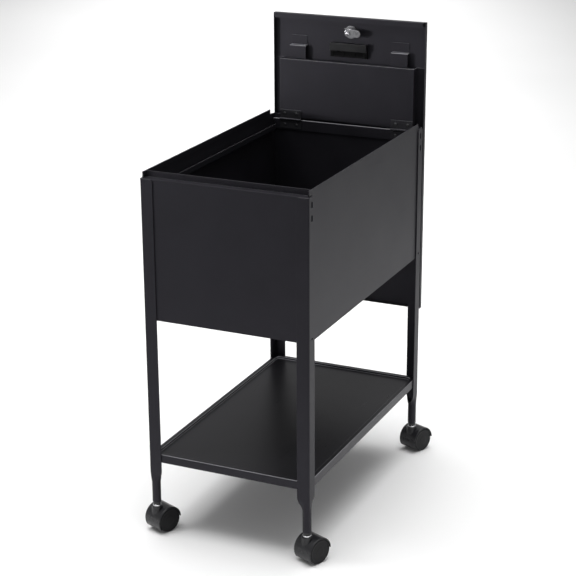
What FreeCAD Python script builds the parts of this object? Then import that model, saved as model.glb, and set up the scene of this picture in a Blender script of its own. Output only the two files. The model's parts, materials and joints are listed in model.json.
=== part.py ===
import FreeCAD, Part
import os
import re
import Sketcher

# Rolling file cart: an open-top steel tub for hanging files on four angle legs with a lower
# shelf and twin-wheel casters. Its lid slides on a carrier plate that is hinged to the tub.
# Millimetres. +X is the cart's right, -Y its front, +Z up, and the floor is z = 0.
# Formulas below count y from the front face of the front legs and x from the cart's middle.

SIZES = {
    # where the cart stands, so that the middle of its outline is at the origin
    "cart_middle": (-5.34, "x of the cart's middle plane"),
    "cart_front": (-302.4, "y of the front face of the front legs"),
    "cart_width": (340.0, "over the legs"),
    "cart_depth": (579.0, "over the legs"),
    # legs
    "leg_flange": (25.4, "width of each flange of the angle"),
    "leg_gauge": (2.2, "sheet thickness"),
    "leg_top": (722.0, "height of the leg tops and of the front ledge"),
    "leg_bottom": (65.0, "height of the foot of the rolled tube"),
    "leg_tube_radius": (8.6, "rolled foot, outside"),
    "leg_tube_bore": (6.4, "rolled foot, inside radius"),
    "leg_tube_top": (150.0, "where the rolled foot ends inside the angle"),
    "taper_top": (137.0, "flanges start to narrow"),
    "taper_bottom": (106.0, "flanges end at the rolled foot"),
    "leg_corner": (5.0, "chamfer on the free top corner of each flange"),
    "taper_knee": (123.0, "height where the narrowing gets steep"),
    "taper_in": (2.0, "how much narrower a flange is at the knee"),
    "lid_relief": (6.2, "chamfer on the rear legs under the lid's flanges"),
    "relief_over": (0.3, "how far that chamfer's cutter runs past the flange"),
    "slot_offset": (13.5, "slot centre from the leg's outer face"),
    "slot_radius": (2.8, "half the slot width"),
    "slot_length": (7.4, "between the slot's end centres"),
    "slot_drop": (15.5, "leg top to the middle of the upper slot"),
    "slot_pitch": (25.0, "upper slot to lower slot"),
    "leg_hole_height": (453.5, "small hole near the tub's bottom"),
    "leg_hole_radius": (2.8, ""),
    # tub
    "gauge": (1.0, "tub, shelf and carrier sheet"),
    "wall_top": (733.5, "height of the side walls' top edge"),
    "tub_bottom": (446.5, "underside of the tub"),
    "cheek_front": (6.0, "front end of the side walls above the ledge"),
    "cheek_rear": (556.0, "rear end of the side walls above the leg tops"),
    "hem": (2.4, "folded top edge of a side wall, in all"),
    "hem_height": (10.0, "side walls"),
    "band_hem_height": (8.0, "front band"),
    "ledge_depth": (18.0, "front face back to the inside of the recessed band"),
    "rear_rim": (712.5, "height of the rear wall's top edge"),
    "rim_front": (572.5, "front face of the rear wall's folded rim"),
    "rim_fold": (690.0, "lower edge of that fold"),
    "rail_height": (702.0, "top of the folder rails"),
    "rail_width": (11.0, "folder rail, out from the wall"),
    "rail_lip": (12.0, "folder rail, height"),
    "rail_gauge": (1.2, ""),
    "rail_front": (28.0, ""),
    "rail_rear": (562.0, ""),
    # shelf
    "shelf_top": (170.0, "height of the shelf's rim"),
    "shelf_skirt": (17.2, "height of the shelf's outer face"),
    "shelf_rim": (10.0, "width of the raised rim"),
    "shelf_recess": (5.0, "rim down to the pan"),
    # lid hinges
    "hinge_y": (570.0, "hinge axis"),
    "hinge_z": (713.0, "hinge axis"),
    "hinge_middle": (125.5, "middle of each hinge from the cart's middle"),
    "hinge_length": (48.0, ""),
    "knuckle_radius": (2.5, ""),
    "pin_radius": (1.2, ""),
    "pin_clearance": (0.05, "between pin and knuckle"),
    "knuckle_gap": (0.3, "between neighbouring knuckles"),
    "leaf_gauge": (1.2, ""),
    "leaf_gap": (0.3, "between a leaf's plate and the other leaf's knuckles"),
    "leaf_height": (20.0, "hinge axis to a leaf's far edge"),
    "screw_radius": (3.0, "head of a hinge screw"),
    "screw_height": (1.0, ""),
    "screw_taper": (0.9, "how much smaller the top of the head is"),
    "screw_drop": (12.0, "hinge axis to the screws of a leaf"),
    "pin_head": (1.7, "pin radius to pin head radius, a factor"),
    "pin_head_height": (0.7, ""),
    "pin_head_gap": (0.1, "between the head and its knuckle"),
    "screw_spacing": (27.0, "between the two screws of a leaf"),
    # lid carrier
    "carrier_half": (149.5, "half the width of its raised face"),
    "carrier_bottom": (717.5, ""),
    "carrier_foot_bottom": (724.0, "lower end of its sides and feet"),
    "carrier_top": (841.5, ""),
    "carrier_return": (13.5, "depth of the fold along its top"),
    "foot_half": (167.5, "half the width over its feet"),
    "foot_rear": (592.4, "rear face of its feet"),
    # lid, stored upright behind the tub
    "lid_half": (169.1, "half the width of the lid"),
    "lid_rear": (593.8, "outer face of the lid's panel"),
    "lid_gauge": (0.9, ""),
    "lid_drop": (14.0, "depth of the front flange, panel included"),
    "lid_side_drop": (10.0, "depth of the side flanges, panel included"),
    "lid_top": (935.5, "front edge of the lid, which is uppermost here"),
    "lid_bottom": (324.0, "rear edge of the lid, which is lowest here"),
    "lid_front_half": (165.1, "half the width of the front flange, inside the hems"),
    "lip_half": (164.5, "half the width of the front flange's lip"),
    "lip_height": (10.0, ""),
    "rear_flange": (8.8, "depth of the lid's rear flange, panel included"),
    # stops on the lid
    "stop_middle": (113.4, "middle of each stop from the cart's middle"),
    "stop_width": (36.8, ""),
    "stop_gauge": (1.2, ""),
    "stop_offset": (10.5, "panel to the face of the tab"),
    "stop_shelf": (870.0, "height of the bent-out step"),
    "stop_foot": (890.0, "top of the part fixed to the lid"),
    "stop_gap": (0.3, "tab above the carrier's top fold"),
    # finger pull
    "pull_half": (41.0, "half the length of the cup"),
    "pull_low": (851.5, ""),
    "pull_high": (881.0, ""),
    "pull_depth": (12.0, "cup, inward from the lid's panel"),
    "pull_wall": (1.8, ""),
    "pull_bezel": (6.0, "bezel beyond the cup, all round"),
    "bezel_gauge": (1.5, ""),
    "pull_step": (865.0, "height where the cup's floor steps back"),
    "pull_step_depth": (5.0, "how far it steps back"),
    "window_width": (18.0, "shallow recess in the stepped floor's inner side"),
    "window_pitch": (24.0, "from one recess to the next"),
    "window_edge": (2.5, "recess to the step and to the cup's low side"),
    "window_depth": (1.0, ""),
    # lock
    "lock_x": (3.0, "lock axis from the cart's middle"),
    "lock_z": (904.0, "lock axis"),
    "lock_radius": (8.0, "barrel"),
    "lock_length": (15.1, "barrel, inward from the panel's inner face"),
    "lock_face": (12.0, "radius of the face outside the lid"),
    "lock_face_height": (1.6, ""),
    "lock_fit": (0.05, "barrel to washer and nut, plug to barrel"),
    "washer_radius": (13.4, ""),
    "washer_gauge": (1.8, ""),
    "nut_radius": (10.9, "over the corners"),
    "nut_height": (4.0, ""),
    "plug_radius": (5.6, ""),
    "plug_end": (0.4, "plug beyond the barrel's inner end"),
    "key_width": (6.4, "keyway"),
    "key_gauge": (1.2, ""),
    "key_depth": (6.0, ""),
    "cam_gauge": (2.0, ""),
    "cam_reach": (19.4, "axis to the centre of the tip's round"),
    "cam_radius": (7.6, "round at each end"),
    "cam_screw_radius": (4.0, ""),
    "cam_screw_height": (2.4, ""),
    "cam_screw_socket": (1.6, "radius"),
    # casters
    "caster_heading": (-22.5, "degrees about +Z, wheels trail to the rear right"),
    "caster_trail": (14.0, "stem axis to axle"),
    "wheel_radius": (25.0, ""),
    "wheel_inner": (3.9, "inner face from the caster's middle"),
    "wheel_outer": (21.9, "outer face from the caster's middle"),
    "wheel_bore": (3.05, "radius"),
    "hub_radius": (8.5, "raised hub on the inner face"),
    "wheel_dish": (2.0, "depth of the inner face between hub and rim"),
    "rim_width": (5.0, "rim beside that dish"),
    "shoulder": (2.4, "rounding of the tread's edges"),
    "cap_radius": (9.0, "boss in the middle of the outer face"),
    "face_dish": (0.9, "depth of the outer face inside its rim"),
    "end_play": (0.25, "between an axle's end and its wheel"),
    "axle_radius": (3.0, ""),
    "axle_half": (20.4, ""),
    "hood_radius": (28.0, ""),
    "hood_inside": (25.8, "radius of the space for a wheel"),
    "hood_half": (22.6, "half the width of the hood"),
    "web_half": (3.2, "half the thickness between the wheels"),
    "hood_cut_drop": (8.0, "cut line below the axle"),
    "hood_cut_angle": (20.0, "degrees"),
    "cutter": (60.0, "half size of the blocks that trim the hood"),
    "neck_radius": (10.8, ""),
    "neck_top": (55.5, ""),
    "stem_radius": (5.0, ""),
    "stem_bottom": (49.6, ""),
    "stem_top": (108.0, ""),
    "collar_radius": (8.4, "bright collar on the stem"),
    "collar_top": (59.2, ""),
    "socket_bottom": (59.6, ""),
    "socket_top": (112.0, ""),
    "socket_flange": (7.6, "radius under the leg"),
    "socket_bore": (5.05, "radius"),
}

SIDES = {"left": -1, "right": 1}
ENDS = {"front": 1, "rear": -1}
ALONG = {
    "x": FreeCAD.Rotation(FreeCAD.Vector(0, 1, 0), 90),
    "y": FreeCAD.Rotation(FreeCAD.Vector(1, 0, 0), -90),
    "z": FreeCAD.Rotation(),
}

doc = FreeCAD.newDocument("file_cart")


def fill_sheet():
    sheet = doc.addObject("Spreadsheet::Sheet", "Sizes")
    for row, (alias, (value, note)) in enumerate(SIZES.items(), start=1):
        sheet.set(f"A{row}", alias)
        sheet.set(f"B{row}", str(value))
        sheet.setAlias(f"B{row}", alias)
        sheet.set(f"C{row}", note)
    doc.recompute()
    return sheet


def formula(text):
    """text with the sheet's name put before each alias in it"""
    def name(found):
        word = found.group(0)
        return f"Sizes.{word}" if word in SIZES else word
    return re.sub(r"[A-Za-z_][A-Za-z_0-9]*", name, str(text))


def bind(thing, target, text):
    thing.setExpression(target, formula(text))


def put(thing, at):
    """binds a thing's position to three formulas"""
    for axis, text in zip("xyz", at):
        bind(thing, f"Placement.Base.{axis}", text)
    return thing


def box(xs, ys, zs):
    """a block between two corners, each given as a pair of formulas per axis"""
    block = doc.addObject("Part::Box", "Block")
    for name, (low, high) in (("Length", xs), ("Width", ys), ("Height", zs)):
        bind(block, name, f"({high}) - ({low})")
    return put(block, (xs[0], ys[0], zs[0]))


def round_bar(axis, at, radius, length, tip_radius=None):
    """a cylinder, or a cone when tip_radius is given, from at along an axis"""
    kind = "Part::Cylinder" if tip_radius is None else "Part::Cone"
    bar = doc.addObject(kind, "Round")
    bar.Placement = FreeCAD.Placement(FreeCAD.Vector(), ALONG[axis])
    if tip_radius is None:
        bind(bar, "Radius", radius)
    else:
        bind(bar, "Radius1", radius)
        bind(bar, "Radius2", tip_radius)
    bind(bar, "Height", length)
    return put(bar, at)


def fuse(*pieces):
    joined = doc.addObject("Part::MultiFuse", "Joined")
    joined.Shapes = list(pieces)
    joined.Refine = True
    return joined


def cut(piece, *tools):
    left = doc.addObject("Part::Cut", "Trimmed")
    left.Base = piece
    left.Tool = tools[0] if len(tools) == 1 else fuse(*tools)
    left.Refine = True
    return left


def group(*pieces):
    together = doc.addObject("Part::Compound", "Group")
    together.Links = list(pieces)
    return together


def turned(piece, at, axis, angle):
    """the piece turned about an axis through its own origin, then moved to at"""
    holder = group(piece)
    holder.Placement = FreeCAD.Placement(FreeCAD.Vector(), FreeCAD.Rotation(axis, 1))
    bind(holder, "Placement.Rotation.Angle", angle)
    return put(holder, at)


def sketch_on(body, plane, points):
    """a closed outline in one of the body's own planes, each corner held by two formulas"""
    sketch = body.newObject("Sketcher::SketchObject", "Outline")
    features = body.Origin.OriginFeatures
    sketch.AttachmentSupport = ([f for f in features if f.Role == plane][0], [""])
    sketch.MapMode = "FlatFace"
    corners = []
    for across, up in points:
        spot = [float(sketch.evalExpression(formula(text))) for text in (across, up)]
        corners.append(FreeCAD.Vector(spot[0], spot[1], 0))
    count = len(corners)
    for i in range(count):
        sketch.addGeometry(Part.LineSegment(corners[i], corners[(i + 1) % count]), False)
    for i in range(count):
        sketch.addConstraint(Sketcher.Constraint("Coincident", i, 2, (i + 1) % count, 1))
    for i, (across, up) in enumerate(points):
        for kind, text, value in (
            ("DistanceX", across, corners[i].x),
            ("DistanceY", up, corners[i].y),
        ):
            number = sketch.addConstraint(Sketcher.Constraint(kind, -1, 1, i, 1, value))
            sketch.setExpression(f"Constraints[{number}]", formula(text))
    return sketch


def pad(body, sketch, length, backwards=False, midplane=False):
    feature = body.newObject("PartDesign::Pad", "Pad")
    feature.Profile = sketch
    bind(feature, "Length", length)
    feature.Reversed = backwards
    feature.Midplane = midplane
    body.Tip = feature
    return feature


def revolve(body, sketch, axis):
    feature = body.newObject("PartDesign::Revolution", "Revolution")
    feature.Profile = sketch
    feature.ReferenceAxis = (sketch, [axis])
    feature.Angle = 360
    body.Tip = feature
    return feature


NODES = []


def node(name, piece, at=("0", "0", "0"), turn=None):
    """names a finished sub-part, and moves it from the cart's own numbers to the part's frame"""
    own = []
    bound = dict(piece.ExpressionEngine)
    for axis in "xyz":
        key = f".Placement.Base.{axis}"
        own.append(bound.get(key, bound.get(key[1:], "0")))
    if turn is not None:
        upright = FreeCAD.Rotation(FreeCAD.Vector(0, 0, 1), 1)
        piece.Placement = FreeCAD.Placement(piece.Placement.Base, upright)
        bind(piece, "Placement.Rotation.Angle", turn)
    for axis, start, extra, shift in zip("xyz", own, at, ("cart_middle", "cart_front", "0")):
        text = f"{start} + {formula(extra)} + {formula(shift)}"
        piece.setExpression(f"Placement.Base.{axis}", text)
    piece.Label = name
    NODES.append(piece)
    return piece


def mirror_x(low, high, sign):
    """a pair of x formulas on one side of the cart"""
    return (low, high) if sign > 0 else (f"-({high})", f"-({low})")


def make_leg(end, side):
    """an angle whose flanges narrow to a rolled foot, with slots in its side flange"""
    sx, sy = -SIDES[side], ENDS[end]
    body = doc.addObject("PartDesign::Body", "LegAngle")
    outline = [
        ("0", "taper_bottom"),
        ("2 * leg_tube_radius", "taper_bottom"),
        ("leg_flange - taper_in", "taper_knee"),
        ("leg_flange", "taper_top"),
        ("leg_flange", "leg_top - leg_corner"),
        ("leg_flange - leg_corner", "leg_top"),
        ("0", "leg_top"),
    ]
    across = sketch_on(body, "XZ_Plane", [(f"{sx} * ({a})", b) for a, b in outline])
    pad(body, across, "leg_gauge", backwards=sy > 0)
    along = sketch_on(body, "YZ_Plane", [(f"{sy} * ({a})", b) for a, b in outline])
    pad(body, along, "leg_gauge", backwards=sx < 0)
    centre = (f"{sx} * leg_tube_radius", f"{sy} * leg_tube_radius")
    tube_height = "leg_tube_top - leg_bottom"
    foot = cut(
        round_bar("z", (*centre, "leg_bottom"), "leg_tube_radius", tube_height),
        round_bar("z", (*centre, "leg_bottom"), "leg_tube_bore", tube_height),
    )
    leg = cut(fuse(body, foot), *leg_holes(sy))
    if end == "rear":
        leg = cut(leg, lid_relief(sx))
    at = (f"-({sx}) * cart_width / 2", "0" if sy > 0 else "cart_depth", "0")
    return node(f"leg_{end}_{side}", leg, at)


def leg_holes(sy):
    """cutters for the two slots and the small hole in a leg's side flange"""
    tools = []
    middle = f"{sy} * slot_offset"
    start, reach = "-2 * leg_gauge", "4 * leg_gauge"
    for number in range(2):
        height = f"leg_top - slot_drop - {number} * slot_pitch"
        for way in (-1, 1):
            spot = (start, middle, f"{height} + {way} * slot_length / 2")
            tools.append(round_bar("x", spot, "slot_radius", reach))
        across = (f"{middle} - slot_radius", f"{middle} + slot_radius")
        upright = (f"{height} - slot_length / 2", f"{height} + slot_length / 2")
        tools.append(box((start, f"{start} + {reach}"), across, upright))
    tools.append(round_bar("x", (start, middle, "leg_hole_height"), "leg_hole_radius", reach))
    return tools


def lid_relief(sx):
    """cutter for the chamfer that keeps a rear leg's top clear of the lid's side flange"""
    ends = (f"-({sx}) * relief_over", f"{sx} * (leg_gauge + relief_over)")
    xs = ends if sx > 0 else ends[::-1]
    block = box(xs, ("-3 * lid_relief", "3 * lid_relief"), ("0", "3 * lid_relief"))
    return turned(block, ("0", "-lid_relief", "leg_top"), FreeCAD.Vector(1, 0, 0), "-45")


def make_socket(end, side):
    """the sleeve in a leg's foot that a caster's stem turns in"""
    height = "socket_top - socket_bottom"
    sleeve = cut(
        fuse(
            round_bar("z", ("0", "0", "leg_bottom"), "leg_tube_bore", "socket_top - leg_bottom"),
            round_bar("z", ("0", "0", "socket_bottom"), "socket_flange", "leg_bottom - socket_bottom"),
        ),
        round_bar("z", ("0", "0", "socket_bottom"), "socket_bore", height),
    )
    return node(f"caster_socket_{end}_{side}", sleeve, stem_place(end, side))


def stem_place(end, side):
    x = f"{SIDES[side]} * (cart_width / 2 - leg_tube_radius)"
    y = "leg_tube_radius" if end == "front" else "cart_depth - leg_tube_radius"
    return (x, y, "0")


def make_side_wall(side):
    sign = SIDES[side]
    outer = "cart_width / 2 - leg_gauge"
    skin = mirror_x(f"{outer} - gauge", outer, sign)
    fold = mirror_x(f"{outer} - hem", f"{outer} - gauge", sign)
    wall = fuse(
        box(skin, ("leg_gauge", "cart_depth - leg_gauge"), ("tub_bottom", "leg_top")),
        box(skin, ("cheek_front", "cheek_rear"), ("leg_top", "wall_top")),
        box(fold, ("cheek_front", "cheek_rear"), ("wall_top - hem_height", "wall_top")),
    )
    return node(f"side_wall_{side}", wall)


def make_front_panel():
    inside = "cart_width / 2 - leg_gauge - gauge"
    between = "cart_width / 2 - leg_gauge - hem"
    wide = (f"-({inside})", inside)
    narrow = (f"-({between})", between)
    panel = fuse(
        box(wide, ("leg_gauge", "leg_gauge + gauge"), ("tub_bottom", "leg_top")),
        box(wide, ("leg_gauge", "ledge_depth"), ("leg_top - gauge", "leg_top")),
        box(narrow, ("ledge_depth - gauge", "ledge_depth"), ("leg_top - gauge", "wall_top")),
        box(narrow, ("ledge_depth", "ledge_depth + gauge"), ("wall_top - band_hem_height", "wall_top")),
    )
    return node("front_panel", panel)


def make_rear_panel():
    inside = "cart_width / 2 - leg_gauge - gauge"
    wide = (f"-({inside})", inside)
    rear = "cart_depth - leg_gauge"
    panel = fuse(
        box(wide, (f"{rear} - gauge", rear), ("tub_bottom", "rear_rim")),
        box(wide, ("rim_front", rear), ("rear_rim - gauge", "rear_rim")),
        box(wide, ("rim_front", "rim_front + gauge"), ("rim_fold", "rear_rim")),
    )
    return node("rear_panel", panel)


def make_tub_floor():
    inside = "cart_width / 2 - leg_gauge - gauge"
    floor = box(
        (f"-({inside})", inside),
        ("leg_gauge + gauge", "cart_depth - leg_gauge - gauge"),
        ("tub_bottom", "tub_bottom + gauge"),
    )
    return node("tub_floor", floor)


def make_folder_rail(side):
    """an angle strip inside a side wall, on which hanging folders' hooks rest"""
    wall = "cart_width / 2 - leg_gauge - gauge"
    low = "rail_height - rail_lip"
    ys = ("rail_front", "rail_rear")
    ledge = mirror_x(f"{wall} - rail_width", wall, SIDES[side])
    lip = mirror_x(f"{wall} - rail_width", f"{wall} - rail_width + rail_gauge", SIDES[side])
    rail = fuse(box(ledge, ys, (low, f"{low} + rail_gauge")), box(lip, ys, (low, "rail_height")))
    return node(f"folder_rail_{side}", rail)


def make_shelf():
    """a pressed tray: skirt, raised rim and a pan that sits lower than the rim"""
    half = "cart_width / 2 - leg_gauge"
    front, rear = "leg_gauge", "cart_depth - leg_gauge"
    low = "shelf_top - shelf_skirt"

    def slab(inset, bottom, top):
        xs = (f"-({half} - ({inset}))", f"{half} - ({inset})")
        return box(xs, (f"{front} + ({inset})", f"{rear} - ({inset})"), (bottom, top))

    hollow = cut(
        slab("gauge", low, "shelf_top - gauge"),
        slab("shelf_rim - gauge", "shelf_top - shelf_recess - gauge", "shelf_top"),
    )
    recess = slab("shelf_rim", "shelf_top - shelf_recess", "shelf_top")
    tray = cut(cut(slab("0", low, "shelf_top"), recess), hollow)
    return node("shelf", tray)


def leaf_x(low, high, sign):
    """x formulas for a stretch of a hinge, counted from the hinge's middle"""
    return mirror_x(f"hinge_middle + ({low})", f"hinge_middle + ({high})", sign)


def make_hinge(side):
    """a butt hinge: a leaf on the rear wall's rim, a leaf on the carrier, and a pin"""
    sign = SIDES[side]
    half = "hinge_length / 2"
    third = "hinge_length / 6"
    leaf_y = ("hinge_y + knuckle_radius - leaf_gauge", "hinge_y + knuckle_radius")
    clear = "knuckle_radius + leaf_gap"
    outer_pair = [
        leaf_x(f"-({half})", f"-({third})", sign),
        leaf_x(third, half, sign),
    ]
    middle = [leaf_x(f"-({third}) + knuckle_gap", f"{third} - knuckle_gap", sign)]
    whole = leaf_x(f"-({half})", half, sign)

    def leaf(knuckles, plate_z, tab_z):
        pieces = [box(whole, leaf_y, plate_z)]
        for low, high in knuckles:
            pieces.append(box((low, high), leaf_y, tab_z))
            length = f"({high}) - ({low})"
            pieces.append(round_bar("x", (low, "hinge_y", "hinge_z"), "knuckle_radius", length))
        start = f"{whole[0]} - 1"
        bore = round_bar(
            "x", (start, "hinge_y", "hinge_z"), "pin_radius + pin_clearance", "hinge_length + 2"
        )
        return cut(fuse(*pieces), bore)

    fixed = leaf(
        outer_pair,
        ("hinge_z - leaf_height", f"hinge_z - ({clear})"),
        (f"hinge_z - ({clear})", "hinge_z"),
    )
    moving = leaf(
        middle,
        (f"hinge_z + {clear}", "hinge_z + leaf_height"),
        ("hinge_z", f"hinge_z + {clear}"),
    )
    head_start = f"{whole[0]} - pin_head_gap - pin_head_height"
    head = (head_start, "hinge_y", "hinge_z")
    pin = fuse(
        round_bar("x", head, "pin_radius", "hinge_length + pin_head_gap + pin_head_height"),
        round_bar("x", head, "pin_radius * pin_head", "pin_head_height"),
    )
    node(f"hinge_leaf_fixed_{side}", fixed)
    node(f"hinge_leaf_moving_{side}", moving)
    node(f"hinge_pin_{side}", pin)


def make_hinge_screws(name, height):
    """the screw heads on one kind of leaf, two on each hinge"""
    face = "hinge_y + knuckle_radius - leaf_gauge"
    heads = []
    for sign in SIDES.values():
        for way in (-1, 1):
            x = f"{sign} * (hinge_middle + {way} * screw_spacing / 2)"
            spot = (x, f"{face} - screw_height", height)
            top = "screw_radius - screw_taper"
            heads.append(round_bar("y", spot, top, "screw_height", tip_radius="screw_radius"))
    return node(name, group(*heads))


def make_carrier():
    """a hat-shaped plate: raised face, sides, and feet that run against the lid's panel"""
    face_y = ("rim_front", "rim_front + gauge")
    low, high = "carrier_foot_bottom", "carrier_top"
    pieces = [
        box(("-carrier_half", "carrier_half"), face_y, ("carrier_bottom", high)),
        box(
            ("-carrier_half", "carrier_half"),
            ("rim_front", "rim_front + gauge + carrier_return"),
            (f"{high} - gauge", high),
        ),
    ]
    for sign in SIDES.values():
        side = mirror_x("carrier_half - gauge", "carrier_half", sign)
        foot = mirror_x("carrier_half - gauge", "foot_half", sign)
        pieces.append(box(side, ("rim_front", "foot_rear"), (low, high)))
        pieces.append(box(foot, ("foot_rear - gauge", "foot_rear"), (low, high)))
    return node("lid_carrier", fuse(*pieces))


def make_lid():
    """a shallow pan: panel, side flanges, front flange with a lip, and a rear flange"""
    inner = "lid_rear - lid_gauge"
    front = "lid_rear - lid_drop"
    whole = ("-lid_half", "lid_half")
    flange_x = ("-lid_front_half", "lid_front_half")
    lip_x = ("-lip_half", "lip_half")
    lip_top = "lid_top - lid_gauge"
    pieces = [
        box(whole, (inner, "lid_rear"), ("lid_bottom", "lid_top")),
        box(flange_x, (front, "lid_rear"), (lip_top, "lid_top")),
        box(lip_x, (front, f"{front} + lid_gauge"), ("lid_top - lip_height", "lid_top")),
        box(whole, ("lid_rear - rear_flange", "lid_rear"), ("lid_bottom", "lid_bottom + lid_gauge")),
    ]
    for sign in SIDES.values():
        side = mirror_x("lid_half - lid_gauge", "lid_half", sign)
        pieces.append(box(side, ("lid_rear - lid_side_drop", "lid_rear"), ("lid_bottom", "lid_top")))
    through = (f"{inner} - 2", "lid_rear + 2")
    tools = [
        box(("-pull_half", "pull_half"), through, ("pull_low", "pull_high")),
        round_bar("y", ("lock_x", through[0], "lock_z"), "lock_radius", "lid_gauge + 4"),
    ]
    return node("lid_panel", cut(fuse(*pieces), *tools))


def make_lid_stop(side):
    """a bent bracket on the lid whose tab rests on the carrier's top fold"""
    half = "stop_width / 2"
    xs = mirror_x(f"stop_middle - {half}", f"stop_middle + {half}", SIDES[side])
    panel = "lid_rear - lid_gauge"
    tab = f"{panel} - stop_offset"
    bracket = fuse(
        box(xs, (f"{panel} - stop_gauge", panel), ("stop_shelf - stop_gauge", "stop_foot")),
        box(xs, (tab, panel), ("stop_shelf - stop_gauge", "stop_shelf")),
        box(xs, (tab, f"{tab} + stop_gauge"), ("carrier_top + stop_gap", "stop_shelf")),
    )
    return node(f"lid_stop_{side}", bracket)


def make_finger_pull():
    """a cup let into the lid: bezel outside, and a floor that steps back along its low side"""
    floor = "lid_rear - pull_depth"
    step_y = f"{floor} + pull_step_depth"
    mouth = "lid_rear + bezel_gauge"
    xs = ("-pull_half", "pull_half")
    inner_xs = ("-pull_half + pull_wall", "pull_half - pull_wall")
    inner_top = "pull_high - pull_wall"
    solid = fuse(
        box(xs, (floor, "lid_rear"), ("pull_step", "pull_high")),
        box(xs, (step_y, "lid_rear"), ("pull_low", "pull_step")),
        box(
            ("-pull_half - pull_bezel", "pull_half + pull_bezel"),
            ("lid_rear", mouth),
            ("pull_low - pull_bezel", "pull_high + pull_bezel"),
        ),
    )
    deep = box(inner_xs, (f"{floor} + pull_wall", mouth), ("pull_step + pull_wall", inner_top))
    shallow = box(inner_xs, (f"{step_y} + pull_wall", mouth), ("pull_low + pull_wall", inner_top))
    windows = []
    for number in (-1, 0, 1):
        middle = f"{number} * window_pitch"
        across = (f"{middle} - window_width / 2", f"{middle} + window_width / 2")
        upright = ("pull_low + window_edge", "pull_step - window_edge")
        windows.append(box(across, (step_y, f"{step_y} + window_depth"), upright))
    return node("finger_pull", cut(solid, deep, shallow, *windows))


def make_lock():
    """a cam lock, its cam turned aside: barrel, washer, nut, plug, cam and cam screw"""
    at = ("lock_x", "0", "lock_z")
    panel = "lid_rear - lid_gauge"
    inner_end = f"{panel} - lock_length"
    face = "lid_rear + lock_face_height"
    barrel = cut(
        fuse(
            round_bar("y", ("0", inner_end, "0"), "lock_radius", f"lid_rear - ({inner_end})"),
            round_bar("y", ("0", "lid_rear", "0"), "lock_face", "lock_face_height"),
        ),
        round_bar("y", ("0", inner_end, "0"), "plug_radius + lock_fit", f"{face} - ({inner_end})"),
    )
    node("lock_barrel", barrel, at)
    washer_y = f"{panel} - washer_gauge"
    washer = cut(
        round_bar("y", ("0", washer_y, "0"), "washer_radius", "washer_gauge"),
        round_bar("y", ("0", washer_y, "0"), "lock_radius + lock_fit", "washer_gauge"),
    )
    node("lock_washer", washer, at)
    nut_y = f"{washer_y} - nut_height"
    nut = cut(
        hexagon(("0", nut_y, "0"), "nut_radius", "nut_height"),
        round_bar("y", ("0", nut_y, "0"), "lock_radius + lock_fit", "nut_height"),
    )
    node("lock_nut", nut, at)
    plug_start = f"{inner_end} - plug_end"
    keyway = box(
        ("-key_width / 2", "key_width / 2"),
        (f"{face} - key_depth", face),
        ("-key_gauge / 2", "key_gauge / 2"),
    )
    plug = cut(round_bar("y", ("0", plug_start, "0"), "plug_radius", f"{face} - ({plug_start})"), keyway)
    node("lock_plug", plug, at)
    cam_y = f"{plug_start} - cam_gauge"
    cam = fuse(
        round_bar("y", ("cam_reach", cam_y, "0"), "cam_radius", "cam_gauge"),
        round_bar("y", ("0", cam_y, "0"), "cam_radius", "cam_gauge"),
        box(("0", "cam_reach"), (cam_y, plug_start), ("-cam_radius", "cam_radius")),
    )
    node("lock_cam", cam, at)
    screw_y = f"{cam_y} - cam_screw_height"
    screw = cut(
        round_bar("y", ("0", screw_y, "0"), "cam_screw_radius", "cam_screw_height"),
        round_bar("y", ("0", screw_y, "0"), "cam_screw_socket", "cam_screw_height / 2"),
    )
    node("lock_cam_screw", screw, at)


def hexagon(at, radius, length):
    """a six-sided bar from at along y"""
    bar = doc.addObject("Part::Prism", "Hexagon")
    bar.Polygon = 6
    bar.Placement = FreeCAD.Placement(FreeCAD.Vector(), ALONG["y"])
    bind(bar, "Circumradius", radius)
    bind(bar, "Height", length)
    return put(bar, at)


def make_caster(end, side):
    """a hooded twin-wheel caster, built with its stem on the local z axis and trailing +y"""
    at = stem_place(end, side)
    turn = "caster_heading"
    tag = f"{end}_{side}"
    node(f"caster_hood_{tag}", hood(), at, turn)
    stem = fuse(
        round_bar("z", ("0", "0", "stem_bottom"), "stem_radius", "stem_top - stem_bottom"),
        round_bar("z", ("0", "0", "neck_top"), "collar_radius", "collar_top - neck_top"),
    )
    node(f"caster_stem_{tag}", stem, at, turn)
    axle = group(round_bar("x", ("-axle_half", "0", "0"), "axle_radius", "2 * axle_half"))
    trail = (
        "caster_trail * sin(-caster_heading)",
        "caster_trail * cos(caster_heading)",
        "wheel_radius",
    )
    centre = tuple(f"({a}) + ({b})" for a, b in zip(at, trail))
    node(f"caster_axle_{tag}", axle, centre, turn)
    for way, word in ((-1, "inner"), (1, "outer")):
        make_wheel(f"wheel_{tag}_{word}", centre, way)


def hood():
    """a caster's hood: a drum over both wheels with a web between them, and the stem's neck"""
    middle = ("caster_trail", "wheel_radius")
    drum = fuse(
        round_bar("x", ("-hood_half", *middle), "hood_radius", "2 * hood_half"),
        round_bar("z", ("0", "0", "wheel_radius"), "neck_radius", "neck_top - wheel_radius"),
    )
    spaces = []
    for start in ("web_half", "-web_half - cutter"):
        spaces.append(round_bar("x", (start, *middle), "hood_inside", "cutter"))
    block = box(("-cutter", "cutter"), ("-cutter", "cutter"), ("-cutter", "0"))
    low = ("0", "caster_trail", "wheel_radius - hood_cut_drop")
    below = turned(block, low, FreeCAD.Vector(1, 0, 0), "hood_cut_angle")
    bores = [
        round_bar("x", ("-hood_half", *middle), "axle_radius", "2 * hood_half"),
        round_bar("z", ("0", "0", "stem_bottom"), "stem_radius", "neck_top - stem_bottom + 1"),
    ]
    return cut(drum, *spaces, below, *bores)


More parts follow.
